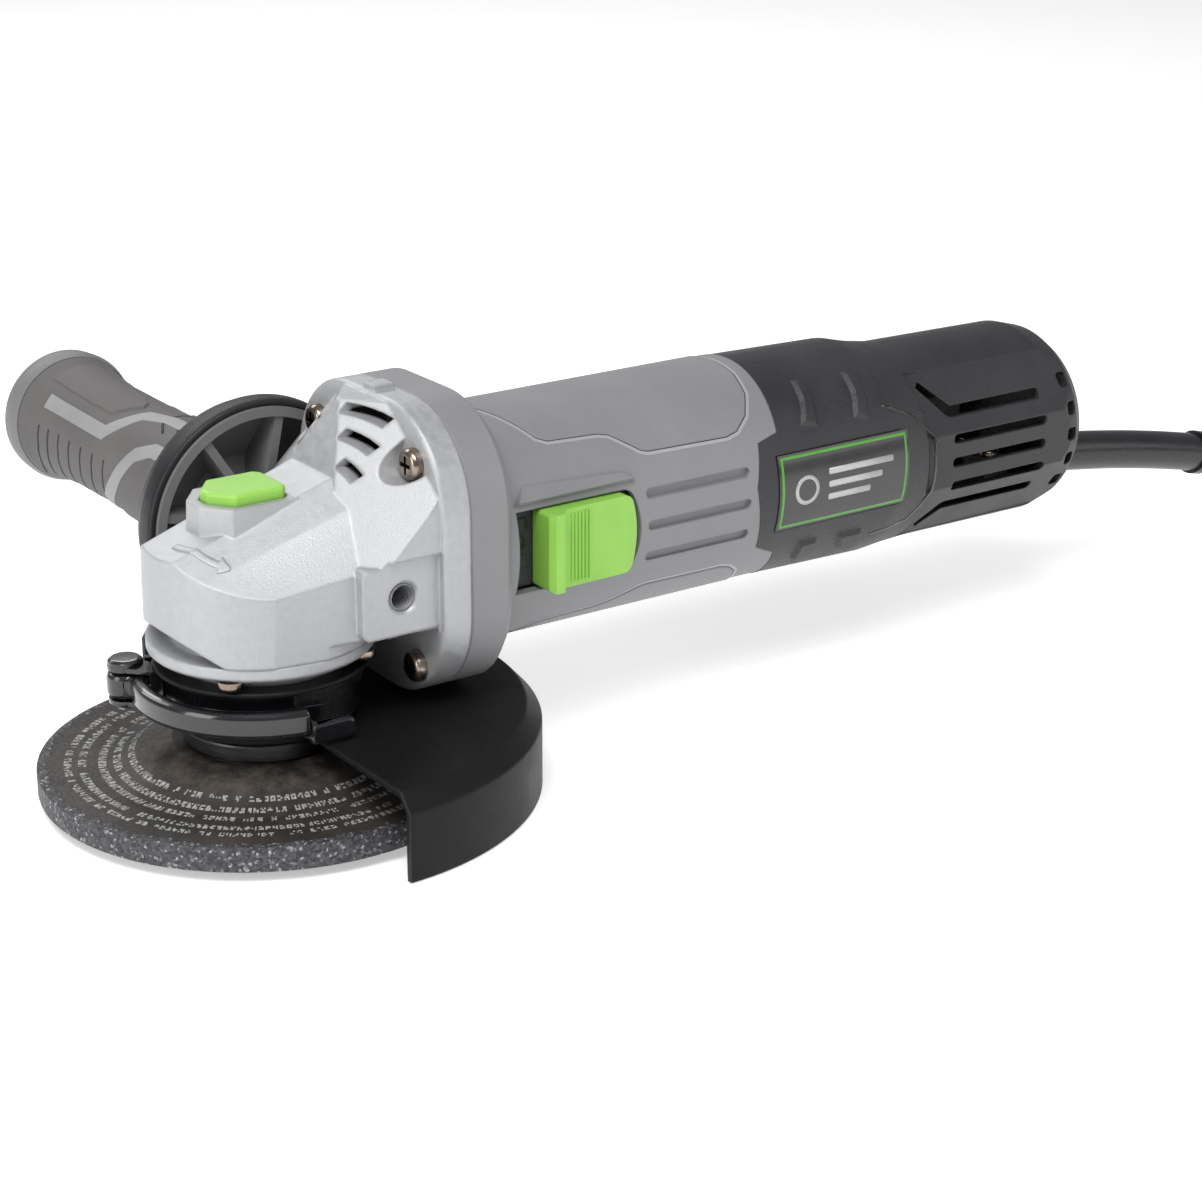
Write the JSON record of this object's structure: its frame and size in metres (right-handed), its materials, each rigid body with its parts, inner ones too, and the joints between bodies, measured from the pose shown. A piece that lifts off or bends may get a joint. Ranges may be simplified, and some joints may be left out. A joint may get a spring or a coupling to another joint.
{
  "type": "angle grinder",
  "caption": "Corded angle grinder with a depressed-centre wheel, turning guard on a clamp lever, side handle, spindle lock and slide switch.",
  "frame": {"origin": "centre of the spindle's nose, on the spindle axis", "axes": "+Z along the spindle, away from the wheel; +X along the motor towards the cord; +Y towards the side handle"},
  "size_m": [0.3981, 0.2334, 0.1007],
  "materials": {
    "case_metal": "satin",
    "screw_steel": "satin",
    "bearing_steel": "polished",
    "black_rubber": "matt",
    "sintered_bronze": "satin",
    "spindle_steel": "satin",
    "spring_steel": "satin",
    "abrasive": "rough",
    "wheel_ring": "satin",
    "green_plastic": "satin",
    "black_steel": "semi-gloss",
    "fan_plastic": "matt",
    "lamination": "matt",
    "copper": "enamelled",
    "carbon": "matt",
    "grey_plastic": "matt",
    "black_plastic": "textured",
    "label": "gloss",
    "light_plastic": "matt",
    "soft_grip": "matt"
  },
  "bodies": {
    "housing": {"air_baffle": "fan_plastic", "bearing_plate": "case_metal", "bearing_sleeve": "black_rubber", "brush_holders": "fan_plastic", "brush_springs": "spring_steel", "brushes": "carbon", "capacitor": "black_plastic", "case_screws": "screw_steel", "clamp_screws": "screw_steel", "cord_clamp": "black_plastic", "cord_sleeve": "black_rubber", "front_bearing": "bearing_steel", "gear_case": "case_metal", "handle_core": "light_plastic", "handle_grip": "soft_grip", "handle_ring": "black_rubber", "handle_stud": "spindle_steel", "housing_screws": "screw_steel", "label_far": "label", "label_near": "label", "lock_spring": "spring_steel", "motor_housing": "grey_plastic", "plate_screws": "screw_steel", "rear_bearing": "bearing_steel", "rear_shell_far": "black_plastic", "rear_shell_near": "black_plastic", "spindle_bearing": "bearing_steel", "spindle_seal": "black_rubber", "stator_coils": "copper", "stator_core": "lamination", "switch_module": "black_plastic", "switch_plate": "black_plastic", "upper_bush": "sintered_bronze"},
    "armature": {"armature_shaft": "spindle_steel", "armature_core": "lamination", "armature_windings": "copper", "commutator": "copper", "fan": "fan_plastic", "pinion": "spindle_steel"},
    "spindle": {"spindle": "spindle_steel", "crown_gear": "spindle_steel", "inner_flange": "spindle_steel", "wheel": "abrasive", "wheel_bush": "wheel_ring", "lock_nut": "spindle_steel"},
    "lock": {"lock_button": "green_plastic", "lock_pin": "spindle_steel"},
    "slider": {"switch_slider": "green_plastic", "switch_rod": "black_plastic"},
    "guard": {"guard": "black_steel", "clamp_band": "black_steel", "band_screw": "black_steel", "lever_rivet": "black_steel"},
    "lever": {"clamp_lever": "black_steel"}
  },
  "joints": [
    {"name": "armature_spin", "type": "hinge", "parent": "housing", "child": "armature", "pos_m": [0.09, 0, 0.0585], "axis": [1, 0, 0], "continuous": true},
    {"name": "spindle_spin", "type": "hinge", "parent": "housing", "child": "spindle", "pos_m": [0, 0, 0.03], "axis": [0, 0, 1], "continuous": true},
    {"name": "lock_press", "type": "slide", "parent": "housing", "child": "lock", "axis": [0, 0, -1], "range_m": [0, 0.0035], "stiffness_N_per_m": 900, "springref_m": -0.003, "deforming": ["lock_spring"]},
    {"name": "switch_slide", "type": "slide", "parent": "housing", "child": "slider", "axis": [-1, 0, 0], "range_m": [0, 0.006]},
    {"name": "guard_turn", "type": "hinge", "parent": "housing", "child": "guard", "pos_m": [0, 0, 0.028], "axis": [0, 0, 1], "range_deg": [-35, 45]},
    {"name": "lever_open", "type": "hinge", "parent": "guard", "child": "lever", "pos_m": [-0.02953, 0.01705, 0.028], "axis": [0, 0, 1], "range_deg": [-90, 0]}
  ],
  "couplings": [
    {"joint": "spindle_spin", "follows": "armature_spin", "ratio": 0.27027}
  ]
}
